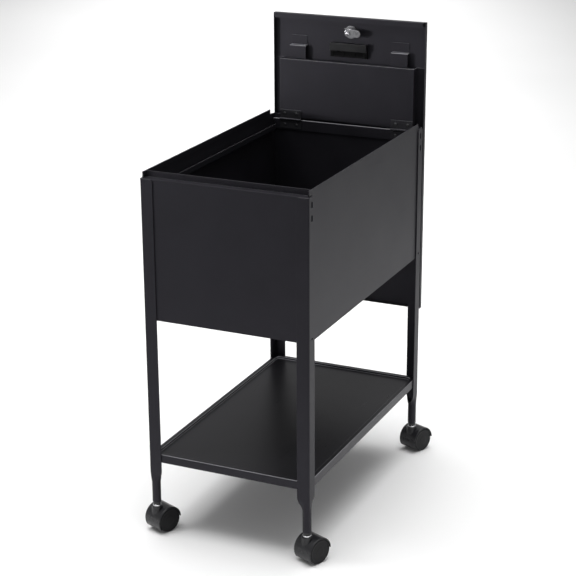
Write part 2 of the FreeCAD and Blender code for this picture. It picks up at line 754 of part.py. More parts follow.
def make_wheel(name, centre, way):
    """a wheel with rounded shoulders, a dished inner face and a closed outer face"""
    body = doc.addObject("PartDesign::Body", "Wheel")
    outline = [
        ("wheel_inner", "wheel_bore"),
        ("wheel_inner", "hub_radius"),
        ("wheel_inner + wheel_dish", "hub_radius"),
        ("wheel_inner + wheel_dish", "wheel_radius - rim_width"),
        ("wheel_inner", "wheel_radius - rim_width"),
        ("wheel_inner", "wheel_radius - shoulder"),
        ("wheel_inner + 0.3 * shoulder", "wheel_radius - 0.3 * shoulder"),
        ("wheel_inner + shoulder", "wheel_radius"),
        ("wheel_outer - shoulder", "wheel_radius"),
        ("wheel_outer - 0.3 * shoulder", "wheel_radius - 0.3 * shoulder"),
        ("wheel_outer", "wheel_radius - shoulder"),
        ("wheel_outer", "wheel_radius - rim_width"),
        ("wheel_outer - face_dish", "wheel_radius - rim_width - face_dish"),
        ("wheel_outer - face_dish", "cap_radius"),
        ("wheel_outer", "0"),
        ("axle_half + end_play", "0"),
        ("axle_half + end_play", "wheel_bore"),
    ]
    sketch = sketch_on(body, "XZ_Plane", [(f"{way} * ({a})", b) for a, b in outline])
    revolve(body, sketch, "H_Axis")
    return node(name, body, centre, "caster_heading")


def build():
    fill_sheet()
    for side in SIDES:
        make_side_wall(side)
        make_folder_rail(side)
        make_hinge(side)
        make_lid_stop(side)
    make_front_panel()
    make_rear_panel()
    make_tub_floor()
    make_shelf()
    make_carrier()
    make_lid()
    make_finger_pull()
    make_lock()
    make_hinge_screws("hinge_screws_fixed", "hinge_z - screw_drop")
    make_hinge_screws("hinge_screws_moving", "hinge_z + screw_drop")
    for end in ENDS:
        for side in SIDES:
            make_leg(end, side)
            make_socket(end, side)
            make_caster(end, side)
    doc.recompute()


def check_and_write():
    problems = []
    for thing in doc.Objects:
        if "Invalid" in thing.State or "Error" in thing.State:
            problems.append(f"{thing.Name} ({thing.Label}): {thing.State}")
    for piece in NODES:
        shape = piece.Shape
        if shape.isNull() or not shape.isValid() or not shape.Solids:
            problems.append(f"{piece.Label}: no valid solid")
    if problems:
        raise RuntimeError("; ".join(problems))
    os.makedirs("parts", exist_ok=True)
    for piece in NODES:
        piece.Shape.exportStep(f"parts/{piece.Label}.step")
    whole = FreeCAD.BoundBox()
    for piece in NODES:
        whole.add(piece.Shape.BoundBox)
    print(len(NODES), "nodes;", whole)


build()
check_and_write()
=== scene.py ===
import json
import math

import bmesh
import bpy
from mathutils import Matrix, Vector


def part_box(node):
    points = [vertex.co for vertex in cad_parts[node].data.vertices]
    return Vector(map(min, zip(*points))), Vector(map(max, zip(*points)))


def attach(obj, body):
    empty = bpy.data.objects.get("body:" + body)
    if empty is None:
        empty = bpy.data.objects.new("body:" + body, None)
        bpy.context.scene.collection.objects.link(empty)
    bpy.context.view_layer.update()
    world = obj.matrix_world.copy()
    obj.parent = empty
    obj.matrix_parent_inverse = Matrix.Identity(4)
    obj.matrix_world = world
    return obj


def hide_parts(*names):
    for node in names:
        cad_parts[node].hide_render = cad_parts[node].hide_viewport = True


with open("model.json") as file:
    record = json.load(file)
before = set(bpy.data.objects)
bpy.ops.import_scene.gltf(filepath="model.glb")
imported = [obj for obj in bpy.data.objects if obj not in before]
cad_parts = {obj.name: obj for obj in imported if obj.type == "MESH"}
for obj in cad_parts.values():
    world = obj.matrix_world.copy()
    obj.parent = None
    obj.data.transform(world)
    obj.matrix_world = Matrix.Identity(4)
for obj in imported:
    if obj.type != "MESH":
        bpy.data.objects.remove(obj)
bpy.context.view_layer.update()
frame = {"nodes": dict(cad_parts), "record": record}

MM = 0.001
SIDES = {"left": -1, "right": 1}
ENDS = {"front": 1, "rear": -1}
SHARP = math.radians(30)
FLAT = math.radians(0.4)
WELD = 2e-6

# The cart's own zero: its middle plane, the front face of its front legs, and the floor.
MIDDLE = sum(corner.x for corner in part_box("front_panel")) / 2
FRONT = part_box("leg_front_left")[0].y
CART = Vector((MIDDLE, FRONT, 0.0))


def at(x, y, z):
    """a point given in the cart's own millimetres, in the frame's metres"""
    return Vector((x, y, z)) * MM + CART


# ---------------------------------------------------------------- mesh work


def cad_mesh(node):
    """a CAD node's shape with its flat faces whole again, ready to be worked on"""
    bm = bmesh.new()
    bm.from_mesh(frame["nodes"][node].data)
    bmesh.ops.remove_doubles(bm, verts=bm.verts, dist=WELD)
    bmesh.ops.dissolve_limit(bm, angle_limit=FLAT, verts=bm.verts, edges=bm.edges)
    return bm


def is_thin(face, gauge):
    return 2 * face.calc_area() / face.calc_perimeter() < 1.6 * gauge


def edge_kind(edge, gauge):
    """fold_out and fold_in for a sheet's bends, trim for its sheared edges, or None"""
    if len(edge.link_faces) != 2 or edge.calc_face_angle() < SHARP:
        return None
    if not edge.is_convex:
        return "fold_in"
    if any(is_thin(face, gauge) for face in edge.link_faces):
        return "trim"
    return "fold_out"


def bevel(bm, edges, radius, steps):
    """rounds some edges and marks the faces made, which take the rubbed-edge tone and the painted
    highlights
    """
    if not edges:
        return
    made = bm.faces.layers.int.get("made") or bm.faces.layers.int.new("made")
    edges = [edge for edge in edges if edge.is_valid]
    result = bmesh.ops.bevel(
        bm,
        geom=edges,
        offset=radius,
        offset_type="OFFSET",
        segments=steps,
        profile=0.5,
        affect="EDGES",
        clamp_overlap=True,
    )
    for face in result["faces"]:
        face[made] = 1


def round_sheet(bm, gauge, fold=1.6, inside=0.5, trim=0.2):
    """gives a folded sheet its bend radii and breaks its sheared edges, all in millimetres"""
    for kind, radius, steps in (("fold_out", fold, 4), ("fold_in", inside, 2), ("trim", trim, 2)):
        if radius:
            edges = [edge for edge in bm.edges if edge_kind(edge, gauge * MM) == kind]
            bevel(bm, edges, radius * MM, steps)


def round_all(bm, radius, steps=2, angle=SHARP, keep=None):
    """rounds every edge sharper than an angle, or only those that keep allows"""
    edges = []
    for edge in bm.edges:
        if len(edge.link_faces) == 2 and edge.calc_face_angle() > angle:
            if keep is None or keep(edge):
                edges.append(edge)
    bevel(bm, edges, radius * MM, steps)


def prism(outline, axis, low, high):
    """a closed solid from a 2-D outline, drawn out along an axis"""
    bm = bmesh.new()
    order = {"x": (1, 2, 0), "y": (0, 2, 1), "z": (0, 1, 2)}[axis]

    def corner(point, along):
        place = [0.0, 0.0, 0.0]
        for where, value in zip(order, (*point, along)):
            place[where] = value
        return bm.verts.new(place)

    ends = [[corner(point, along) for point in outline] for along in (low, high)]
    for end in ends:
        bm.faces.new(end)
    count = len(outline)
    for i in range(count):
        j = (i + 1) % count
        bm.faces.new((ends[0][i], ends[0][j], ends[1][j], ends[1][i]))
    bmesh.ops.recalc_face_normals(bm, faces=bm.faces)
    return bm


def circle(radius, steps, centre=(0.0, 0.0)):
    points = []
    for i in range(steps):
        angle = 2 * math.pi * i / steps
        points.append((centre[0] + radius * math.cos(angle), centre[1] + radius * math.sin(angle)))
    return points


def arc(centre, radius, start, end, steps=5):
    """points on an arc, angles in degrees"""
    points = []
    for i in range(steps + 1):
        angle = math.radians(start + (end - start) * i / steps)
        points.append((centre[0] + radius * math.cos(angle), centre[1] + radius * math.sin(angle)))
    return points


def turn_round(profile, axis, steps=64):
    """a solid of revolution: profile points are (along the axis, radius), in metres"""
    bm = bmesh.new()
    rows = []
    for along, radius in profile:
        if radius < 1e-7:
            rows.append([bm.verts.new((along, 0.0, 0.0))])
            continue
        rows.append([bm.verts.new((along, y, z)) for y, z in circle(radius, steps)])
    for one, two in zip(rows, rows[1:] + rows[:1]):
        for i in range(steps):
            j = (i + 1) % steps
            corners = [one[i % len(one)], one[j % len(one)], two[j % len(two)], two[i % len(two)]]
            unique = list(dict.fromkeys(corners))
            if len(unique) > 2:
                bm.faces.new(unique)
    bmesh.ops.recalc_face_normals(bm, faces=bm.faces)
    spin = {"x": Matrix.Identity(4), "y": Matrix.Rotation(math.pi / 2, 4, "Z")}
    spin["z"] = Matrix.Rotation(-math.pi / 2, 4, "Y")
    bm.transform(spin[axis])
    return bm


def scaled(points):
    return [(a * MM, b * MM) for a, b in points]


def join(*parts):
    """several closed shapes in one mesh"""
    bm = parts[0]
    for part in parts[1:]:
        spare = bpy.data.meshes.new("spare")
        part.to_mesh(spare)
        part.free()
        bm.from_mesh(spare)
        bpy.data.meshes.remove(spare)
    return bm


def combine(bm, tools, operation):
    """bm with closed tool shapes cut from it or added to it"""
    things = []
    for part in (bm, tools):
        mesh = bpy.data.meshes.new("work")
        part.to_mesh(mesh)
        part.free()
        thing = bpy.data.objects.new("work", mesh)
        bpy.context.scene.collection.objects.link(thing)
        things.append(thing)
    step = things[0].modifiers.new("boolean", "BOOLEAN")
    step.operation = operation
    step.solver = "EXACT"
    step.use_self = operation == "UNION"
    step.object = things[1]
    graph = bpy.context.evaluated_depsgraph_get()
    result = bpy.data.meshes.new_from_object(things[0].evaluated_get(graph), depsgraph=graph)
    made = bmesh.new()
    made.from_mesh(result)
    bpy.data.meshes.remove(result)
    for thing in things:
        mesh = thing.data
        bpy.data.objects.remove(thing)
        bpy.data.meshes.remove(mesh)
    bmesh.ops.remove_doubles(made, verts=made.verts, dist=WELD)
    bmesh.ops.dissolve_limit(made, angle_limit=FLAT, verts=made.verts, edges=made.edges)
    return made


def mark_wear_and_highlight(bm, amount):
    """a value per point, above 0 where every face round it is a rounded edge; it drives the rubbed-edge
    tone and the painted highlights on bends that face up
    """
    made = bm.faces.layers.int.get("made")
    wear_and_highlight = bm.verts.layers.float.get("wear_and_highlight") or bm.verts.layers.float.new("wear_and_highlight")
    for vert in bm.verts:
        if made and vert.link_faces and all(face[made] for face in vert.link_faces):
            vert[wear_and_highlight] = amount


def corner_normals(bm):
    """a normal per face corner: flat faces stay flat and rounded edges run smoothly between them"""
    made = bm.faces.layers.int.get("made") or bm.faces.layers.int.new("made")
    bm.normal_update()
    near, nearer = math.cos(math.radians(50)), math.cos(math.radians(35))
    normals = []
    for face in bm.faces:
        rounded = face[made]
        reach = near if rounded else nearer
        for loop in face.loops:
            peers = [peer for peer in loop.vert.link_faces if peer.normal.dot(face.normal) > reach]
            flats = [peer for peer in peers if not peer[made]]
            normal = Vector()
            for peer in flats if flats or not rounded else peers:
                normal += peer.normal * peer.calc_area()
            normals.append(normal.normalized() if normal.length > 0 else face.normal)
    return normals


def share(bm, name, paint, wear_and_highlight=1.0):
    """a finished mesh, which one or several pieces use"""
    bmesh.ops.remove_doubles(bm, verts=bm.verts, dist=1e-5)
    bmesh.ops.dissolve_degenerate(bm, edges=bm.edges, dist=1e-6)
    mark_wear_and_highlight(bm, wear_and_highlight)
    normals = corner_normals(bm)
    mesh = bpy.data.meshes.new(name)
    bm.to_mesh(mesh)
    bm.free()
    for face in mesh.polygons:
        face.use_smooth = True
    mesh.normals_split_custom_set(normals)
    mesh.materials.append(paint)
    return mesh


def add(name, mesh, body, stands_for, place=None):
    """makes a piece of a mesh, gives it its body and hides the CAD node it stands for"""
    piece = bpy.data.objects.new(name, mesh)
    bpy.context.scene.collection.objects.link(piece)
    if place is not None:
        piece.matrix_world = place
    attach(piece, body)
    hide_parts(stands_for)
    return piece


# ---------------------------------------------------------------- materials


class Paint:
    """a Principled material and a few short ways to add the nodes that drive it"""

    def __init__(self, name, **values):
        self.material = bpy.data.materials.new(name)
        self.material.use_nodes = True
        self.tree = self.material.node_tree
        self.tree.nodes.clear()
        self.output = self.node("ShaderNodeOutputMaterial")
        self.shader = self.node("ShaderNodeBsdfPrincipled")
        self.tree.links.new(self.shader.outputs[0], self.output.inputs[0])
        self.place = self.node("ShaderNodeTexCoord").outputs["Object"]
        for key, value in values.items():
            self.shader.inputs[key.replace("_", " ")].default_value = value

    def node(self, kind, **settings):
        made = self.tree.nodes.new(kind)
        for key, value in settings.items():
            setattr(made, key, value)
        return made

    def link(self, source, target):
        self.tree.links.new(source, target)
        return target

    def stretched(self, scale):
        """the object's coordinates scaled by an amount per axis"""
        mapping = self.node("ShaderNodeMapping")
        mapping.inputs["Scale"].default_value = scale
        self.link(self.place, mapping.inputs["Vector"])
        return mapping.outputs[0]

    def noise(self, size_mm, detail=2.0, rough=0.5, vector=None, distortion=0.0):
        made = self.node("ShaderNodeTexNoise")
        made.inputs["Scale"].default_value = 1000.0 / size_mm
        made.inputs["Detail"].default_value = detail
        made.inputs["Roughness"].default_value = rough
        made.inputs["Distortion"].default_value = distortion
        self.link(vector or self.place, made.inputs["Vector"])
        return made.outputs["Fac"]

    def cells(self, size_mm, smooth=0.4, vector=None):
        made = self.node("ShaderNodeTexVoronoi", feature="SMOOTH_F1")
        made.inputs["Scale"].default_value = 1000.0 / size_mm
        made.inputs["Smoothness"].default_value = smooth
        self.link(vector or self.place, made.inputs["Vector"])
        return made.outputs["Distance"]

    # the rounded-edge mask: it places real edge rubbing and also the painted highlights on upward bends
    def wear_and_highlight_mask(self):
        return self.node("ShaderNodeAttribute", attribute_name="wear_and_highlight").outputs["Fac"]

    def facing_up(self):
        """0 on walls and undersides, 1 on faces that look up; it places the painted highlights on upward
        bends
        """
        split = self.node("ShaderNodeSeparateXYZ")
        self.link(self.node("ShaderNodeNewGeometry").outputs["Normal"], split.inputs[0])
        return self.span(split.outputs["Z"], 0.25, 0.85, 0.0, 1.0)

    def math(self, operation, one, two=None):
        made = self.node("ShaderNodeMath", operation=operation)
        for socket, value in zip(made.inputs, (one, two)):
            if value is None:
                continue
            if isinstance(value, (int, float)):
                socket.default_value = value
            else:
                self.link(value, socket)
        return made.outputs[0]

    def span(self, source, low, high, to_low, to_high):
        made = self.node("ShaderNodeMapRange", clamp=True)
        self.link(source, made.inputs["Value"])
        keys = ("From Min", "From Max", "To Min", "To Max")
        for key, value in zip(keys, (low, high, to_low, to_high)):
            made.inputs[key].default_value = value
        return made.outputs["Result"]

    def blend(self, amount, one, two):
        """a colour between two, each a colour or another node's output"""
        made = self.node("ShaderNodeMix", data_type="RGBA")
        self.link(amount, made.inputs["Factor"])
        for socket, value in ((made.inputs[6], one), (made.inputs[7], two)):
            if isinstance(value, tuple):
                socket.default_value = (*value, 1.0)
            else:
                self.link(value, socket)
        return made.outputs[2]

    def bump(self, height, depth_mm, strength=1.0, onto=None):
        made = self.node("ShaderNodeBump")
        made.inputs["Strength"].default_value = strength
        made.inputs["Distance"].default_value = depth_mm * MM
        self.link(height, made.inputs["Height"])
        if onto is not None:
            self.link(onto, made.inputs["Normal"])
        return made.outputs[0]

    def finish(self, colour, roughness, normal):
        self.link(colour, self.shader.inputs["Base Color"])
        self.link(roughness, self.shader.inputs["Roughness"])
        self.link(normal, self.shader.inputs["Normal"])
        return self.material


def powder_coat(name, dark, light, gloss, grain_mm=1.1, depth_mm=0.05, scuffs=0.0):
    """black powder coat: fine grain, soft patches of sheen, dust, rubbed bends, and painted highlights on
    bends that face up
    """
    paint = Paint(name, Specular_IOR_Level=0.27, Specular_Tint=(0.89, 0.86, 1.0, 1.0))
    grain = paint.cells(grain_mm)
    dust = paint.noise(0.6, 3.0, 0.65)
    patches = paint.noise(90.0, 3.0, 0.55)
    tone = paint.blend(paint.span(patches, 0.3, 0.7, 0.0, 1.0), dark, light)
    speck = tuple(min(1.0, value * 2.6) for value in light)
    tone = paint.blend(paint.span(dust, 0.62, 0.78, 0.0, 0.7), tone, speck)
    broken = paint.span(paint.noise(7.0, 4.0, 0.7), 0.42, 0.62, 0.55, 1.0)
    rub = paint.math("MULTIPLY", paint.wear_and_highlight_mask(), broken)
    tone = paint.blend(paint.math("MULTIPLY", rub, 0.45), tone, tuple(value * 4.5 for value in light))
    # painted highlight: rounded edges that face up are blended to a light grey, standing in for the
    # reflection of the overhead light on the bends
    painted_highlight = paint.math("MULTIPLY", paint.wear_and_highlight_mask(), paint.facing_up())
    tone = paint.blend(paint.math("MULTIPLY", painted_highlight, 0.9), tone, (0.38, 0.38, 0.4))
    rough = paint.span(patches, 0.3, 0.7, gloss - 0.015, gloss + 0.02)
    rough = paint.math("ADD", rough, paint.span(dust, 0.3, 0.7, -0.03, 0.03))
    rough = paint.math("SUBTRACT", rough, paint.math("MULTIPLY", rub, 0.14))
    normal = paint.bump(grain, depth_mm, 0.6)
    normal = paint.bump(dust, depth_mm * 0.6, 0.5, onto=normal)
    if scuffs:
        streaks = paint.noise(2.0, 2.0, 0.5, vector=paint.stretched((1.0, 0.045, 1.0)))
        marks = paint.span(streaks, 0.66, 0.74, 0.0, scuffs)
        tone = paint.blend(marks, tone, tuple(value * 3.0 for value in light))
        rough = paint.math("SUBTRACT", rough, paint.math("MULTIPLY", marks, 0.2))
    return paint.finish(tone, rough, normal)


def plated(name, base, tarnish, gloss, brushed=None, pits=0.0):
    """bright or brushed plated metal with fine scratches, darker smudges, lighter rubbed edges and
    optional fine pits
    """
    paint = Paint(name, Metallic=1.0)
    vector = paint.stretched(brushed) if brushed else None
    scratch = paint.noise(0.5, 3.0, 0.6, vector=vector)
    smudge = paint.noise(9.0, 3.0, 0.6)
    tone = paint.blend(paint.span(smudge, 0.35, 0.75, 0.0, 1.0), base, tarnish)
    rub = paint.wear_and_highlight_mask()
    tone = paint.blend(paint.math("MULTIPLY", rub, 0.5), tone, tuple(min(1.0, v * 1.15) for v in base))
    rough = paint.span(smudge, 0.3, 0.7, gloss, gloss + 0.12)
    rough = paint.math("ADD", rough, paint.span(scratch, 0.3, 0.7, -0.04, 0.06))
    normal = paint.bump(scratch, 0.012, 0.5)
    if pits:
        normal = paint.bump(paint.cells(1.6, 0.8), pits, 0.5, onto=normal)
    return paint.finish(tone, rough, normal)


def moulded(name, dark, light, gloss, grain_mm=0.5, depth_mm=0.02, marks=0.3, shine=0.5):
    """moulded black plastic: fine spark grain, handling marks, polished corners, painted highlights on
    corners that face up, and painted shade in marked recesses
    """
    paint = Paint(name, Specular_IOR_Level=shine)
    grain = paint.noise(grain_mm, 3.0, 0.6)
    cloud = paint.noise(22.0, 3.0, 0.6)
    tone = paint.blend(paint.span(cloud, 0.3, 0.7, 0.0, 1.0), dark, light)
    line = paint.noise(1.2, 2.0, 0.5, vector=paint.stretched((0.12, 1.0, 1.0)), distortion=0.3)
    scratch = paint.span(line, 0.68, 0.76, 0.0, marks)
    tone = paint.blend(scratch, tone, tuple(min(1.0, v * 3.0) for v in light))
    rub = paint.math("MULTIPLY", paint.wear_and_highlight_mask(), paint.span(paint.noise(4.0), 0.35, 0.6, 0.2, 1.0))
    tone = paint.blend(paint.math("MULTIPLY", rub, 0.4), tone, tuple(min(1.0, v * 2.4) for v in light))
    # painted highlight: polished corners that face up are blended to a lighter grey, standing in for the
    # reflection of overhead light
    painted_highlight = paint.math("MULTIPLY", rub, paint.facing_up())
    tone = paint.blend(paint.math("MULTIPLY", painted_highlight, 0.6), tone, (0.16, 0.16, 0.17))
    rough = paint.span(cloud, 0.3, 0.7, gloss - 0.05, gloss + 0.06)
    rough = paint.math("ADD", rough, paint.math("MULTIPLY", scratch, 0.25))
    rough = paint.math("SUBTRACT", rough, paint.math("MULTIPLY", rub, 0.08))
    # painted shade: points marked as a deep recess get a near-black colour and less specular, standing in
    # for the shade inside the recess
    painted_recess_shade = paint.node("ShaderNodeAttribute", attribute_name="painted_recess_shade").outputs["Fac"]
    tone = paint.blend(paint.math("MULTIPLY", painted_recess_shade, 0.8), tone, (0.002, 0.002, 0.002))
    paint.link(paint.span(painted_recess_shade, 0.0, 1.0, shine, shine * 0.2), paint.shader.inputs["Specular IOR Level"])
    return paint.finish(tone, rough, paint.bump(grain, depth_mm, 0.6))


LOOKS = {
    "cart_paint": powder_coat(
        "cart_paint", (0.0092, 0.0088, 0.0108), (0.0122, 0.0118, 0.0146), 0.46
    ),
    "shelf_paint": powder_coat(
        "shelf_paint", (0.007, 0.007, 0.0082), (0.0098, 0.0096, 0.0112), 0.33, scuffs=0.3
    ),
    "hinge_paint": powder_coat(
        "hinge_paint", (0.015, 0.015, 0.017), (0.022, 0.022, 0.024), 0.36, 0.7, 0.03
    ),
    "hinge_steel": plated("hinge_steel", (0.1, 0.1, 0.105), (0.06, 0.06, 0.063), 0.36),
    "lock_chrome": plated("lock_chrome", (0.44, 0.44, 0.46), (0.22, 0.22, 0.23), 0.16, pits=0.05),
    "caster_chrome": plated("caster_chrome", (0.66, 0.66, 0.68), (0.5, 0.5, 0.51), 0.12),
    "axle_steel": plated(
        "axle_steel", (0.5, 0.5, 0.51), (0.36, 0.36, 0.37), 0.25, brushed=(0.1, 1.0, 1.0)
    ),
    "pull_plastic": moulded(
        "pull_plastic", (0.006, 0.006, 0.007), (0.009, 0.009, 0.01), 0.34, shine=0.3
    ),
    "socket_plastic": moulded("socket_plastic", (0.012, 0.012, 0.013), (0.016, 0.016, 0.017), 0.45),
    "caster_plastic": moulded(
        "caster_plastic", (0.011, 0.011, 0.013), (0.016, 0.016, 0.018), 0.3, shine=0.4
    ),
    "wheel_plastic": moulded(
        "wheel_plastic", (0.004, 0.004, 0.005), (0.007, 0.007, 0.008), 0.36, shine=0.18
    ),
}
SLOT_OF = {row["node"]: row["material_slot"] for row in frame["record"]["subparts"]}
BODY_OF = {}
for body_name, members in frame["record"]["behaviour"]["bodies"].items():
    for member in members:
        BODY_OF[member] = body_name


def finish(node, shape, place=None, wear_and_highlight=1.0):
    """a piece that stands for one CAD node, with that node's slot and body"""
    slot = SLOT_OF[node]
    name = f"{node}_look"
    mesh = shape if isinstance(shape, bpy.types.Mesh) else share(shape, name, LOOKS[slot], wear_and_highlight)
    return add(name, mesh, BODY_OF[node], node, place)


# ---------------------------------------------------------------- the cart's sheet metal

HALF_WIDTH, DEPTH = 170.0, 579.0
LEG = {"flange": 25.4, "gauge": 2.2, "top": 722.0, "bottom": 65.0, "corner": 5.0}
LEG.update({"bend": 2.8, "tube": 8.6, "curl_top": 137.0, "curl_bottom": 108.0, "seam": 4.0})
LEG.update({"relief": 6.2, "slots": (706.5, 681.5), "hole": 453.5, "hole_radius": 2.8})
LEG.update({"hole_inset": 13.5, "slot_half": 3.7})


def leg_line(flange):
    """the middle of an angle's sheet, from one flange's free edge round to the other's"""
    half = LEG["gauge"] / 2
    bend = LEG["bend"] - half
    start = half + bend
    line = [(flange + (start - flange) * i / 10, half) for i in range(11)]
    line += arc((start, start), bend, 270, 180, 6)[1:-1]
    line += [(half, start + (flange - start) * i / 10) for i in range(11)]
    return line


def curled_line(line, amount):
    """that line part of the way to a tube, each point keeping its share of the length"""
    if amount <= 0:
        return line
    lengths = [0.0]
    for one, two in zip(line, line[1:]):
        lengths.append(lengths[-1] + math.dist(one, two))
    radius = LEG["tube"] - LEG["gauge"] / 2
    result = []
    for point, along in zip(line, lengths):
        share = along / lengths[-1]
        angle = math.radians(45 - LEG["seam"] - share * (360 - 2 * LEG["seam"]))
        target = (LEG["tube"] + radius * math.cos(angle), LEG["tube"] + radius * math.sin(angle))
        result.append(tuple(a + (b - a) * amount for a, b in zip(point, target)))
    return result


def thick_line(line, gauge):
    """a closed outline round a line, half the gauge to each side"""
    outer, inner = [], []
    for i, point in enumerate(line):
        before, after = line[max(i - 1, 0)], line[min(i + 1, len(line) - 1)]
        along = Vector((after[0] - before[0], after[1] - before[1])).normalized()
        side = Vector((-along.y, along.x)) * gauge / 2
        outer.append((point[0] + side.x, point[1] + side.y))
        inner.append((point[0] - side.x, point[1] - side.y))
    return outer + inner[::-1]


def leg(end, side):
    """a rolled angle whose flanges curl into a tube at the foot, slotted in its side flange"""
    rows = [(LEG["top"], LEG["flange"] - LEG["corner"], 0.0)]
    rows.append((LEG["top"] - LEG["corner"], LEG["flange"], 0.0))
    rows.append((LEG["curl_top"], LEG["flange"], 0.0))
    for i in range(1, 13):
        share = i / 12
        height = LEG["curl_top"] + (LEG["curl_bottom"] - LEG["curl_top"]) * share
        rows.append((height, LEG["flange"], share**1.8))
    rows.append((LEG["bottom"], LEG["flange"], 1.0))
    way_x, way_y = -SIDES[side], ENDS[end]
    corner = (-way_x * HALF_WIDTH, 0.0 if way_y > 0 else DEPTH)
    bm = bmesh.new()
    rings = []
    for height, flange, amount in rows:
        outline = thick_line(curled_line(leg_line(flange), amount), LEG["gauge"])
        places = [at(corner[0] + way_x * u, corner[1] + way_y * v, height) for u, v in outline]
        rings.append([bm.verts.new(place) for place in places])
    count = len(rings[0])
    for one, two in zip(rings, rings[1:]):
        for i in range(count):
            j = (i + 1) % count
            bm.faces.new((one[i], one[j], two[j], two[i]))
    for ring in (rings[0], rings[-1]):
        for i in range(count // 2 - 1):
            bm.faces.new((ring[i], ring[i + 1], ring[count - 2 - i], ring[count - 1 - i]))
    bmesh.ops.recalc_face_normals(bm, faces=bm.faces)
    cutters = slot_cutters(corner, way_y)
    if end == "rear":
        reach = 12.0
        lift = [(DEPTH - LEG["relief"], LEG["top"]), (DEPTH + reach, LEG["top"] + reach)]
        lift.append((DEPTH + reach, LEG["top"] - LEG["relief"] - reach))
        lift = [(y * MM + CART.y, z * MM) for y, z in lift]
        low, high = sorted((corner[0] + way_x * 2.5, corner[0] - way_x))
        cutters.append(prism(lift, "x", low * MM + CART.x, high * MM + CART.x))
    bm = combine(bm, join(*cutters), "DIFFERENCE")
    round_all(bm, 0.25, 2, math.radians(50))
    return finish(f"leg_{end}_{side}", bm)


def slot_cutters(corner, way_y):
    """the two slots and the small hole in a leg's side flange"""
    cutters = []
    middle, radius = corner[1] + way_y * LEG["hole_inset"], LEG["hole_radius"]
    low, high = (corner[0] - 5.0) * MM + CART.x, (corner[0] + 5.0) * MM + CART.x
    for height in LEG["slots"]:
        outline = arc((middle, height + LEG["slot_half"]), radius, 0, 180, 8)
        outline += arc((middle, height - LEG["slot_half"]), radius, 180, 360, 8)
        outline = [(y * MM + CART.y, z * MM) for y, z in outline]
        cutters.append(prism(outline, "x", low, high))
    hole = [(y * MM + CART.y, z * MM) for y, z in circle(radius, 24, (middle, LEG["hole"]))]
    cutters.append(prism(hole, "x", low, high))
    return cutters


def sheet(node, gauge, wear_and_highlight=1.0, **radii):
    """a CAD sheet part with real bend radii"""
    bm = cad_mesh(node)
    round_sheet(bm, gauge, **radii)
    return finish(node, bm, wear_and_highlight=wear_and_highlight)


def rounded_ring(inset, radius, steps=6):
    """the shelf's outline moved in by inset, with its corners rounded"""
    half = 167.8 - inset
    low, high = 2.2 + inset, 576.8 - inset
    points = []
    for x, y, start in ((1, 1, 0), (-1, 1, 90), (-1, -1, 180), (1, -1, 270)):
        centre = (x * (half - radius), (high - radius) if y > 0 else (low + radius))
        points += arc(centre, radius, start, start + 90, steps)
    return points


def shelf():
    """a pressed tray: rounded rim, a pan with rounded inner corners, and a turned-down skirt"""
    top, low, pan, gauge = 170.0, 152.8, 165.0, 1.0
    line = [(0.0, low), (0.0, top - 2.2)]
    line += [(2.2 - 2.2 * math.cos(a), top - 2.2 + 2.2 * math.sin(a)) for a in steps_of(4)[1:]]
    line += [(8.2 + 1.8 * math.sin(a), top - 1.8 + 1.8 * math.cos(a)) for a in steps_of(4)]
    line += [(12.0 - 2.0 * math.cos(a), pan + 2.0 - 2.0 * math.sin(a)) for a in steps_of(4)]
    under = []
    for i, (inset, height) in enumerate(line):
        before, after = line[max(i - 1, 0)], line[min(i + 1, len(line) - 1)]
        along = Vector((after[0] - before[0], after[1] - before[1])).normalized()
        under.append((inset + along.y * gauge, height - along.x * gauge))
    bm = bmesh.new()
    rings = []
    for inset, height in under[::-1] + line:
        ring = rounded_ring(inset, max(1.6, 9.0 - abs(inset - 10.0)) if inset > 4 else 1.6 + inset * 0.2)
        rings.append([bm.verts.new(at(x, y, height)) for x, y in ring])
    count = len(rings[0])
    for one, two in zip(rings, rings[1:]):
        for i in range(count):
            j = (i + 1) % count
            bm.faces.new((one[i], one[j], two[j], two[i]))
    bm.faces.new(rings[0])
    bm.faces.new(rings[-1])
    bmesh.ops.recalc_face_normals(bm, faces=bm.faces)
    made = bm.faces.layers.int.new("made")
    for face in bm.faces:
        face[made] = 1 if 0.1 < abs(face.normal.z) < 0.98 else 0
    return finish("shelf", bm)


def steps_of(count):
    """angles from 0 to a right angle"""
    return [math.pi / 2 * i / count for i in range(count + 1)]


# ---------------------------------------------------------------- casters


HEADING = math.radians(-22.5)
TRAIL, WHEEL_RADIUS, AXLE_RADIUS = 14.0, 25.0, 3.0
TO_AXLE = Matrix.Translation(Vector((0.0, TRAIL, WHEEL_RADIUS)) * MM)


def caster_place(end, side):
    """where a caster's stem line meets the floor, and how the caster is turned"""
    x = SIDES[side] * (HALF_WIDTH - LEG["tube"])
    y = LEG["tube"] if end == "front" else DEPTH - LEG["tube"]
    return Matrix.Translation(at(x, y, 0.0)) @ Matrix.Rotation(HEADING, 4, "Z")


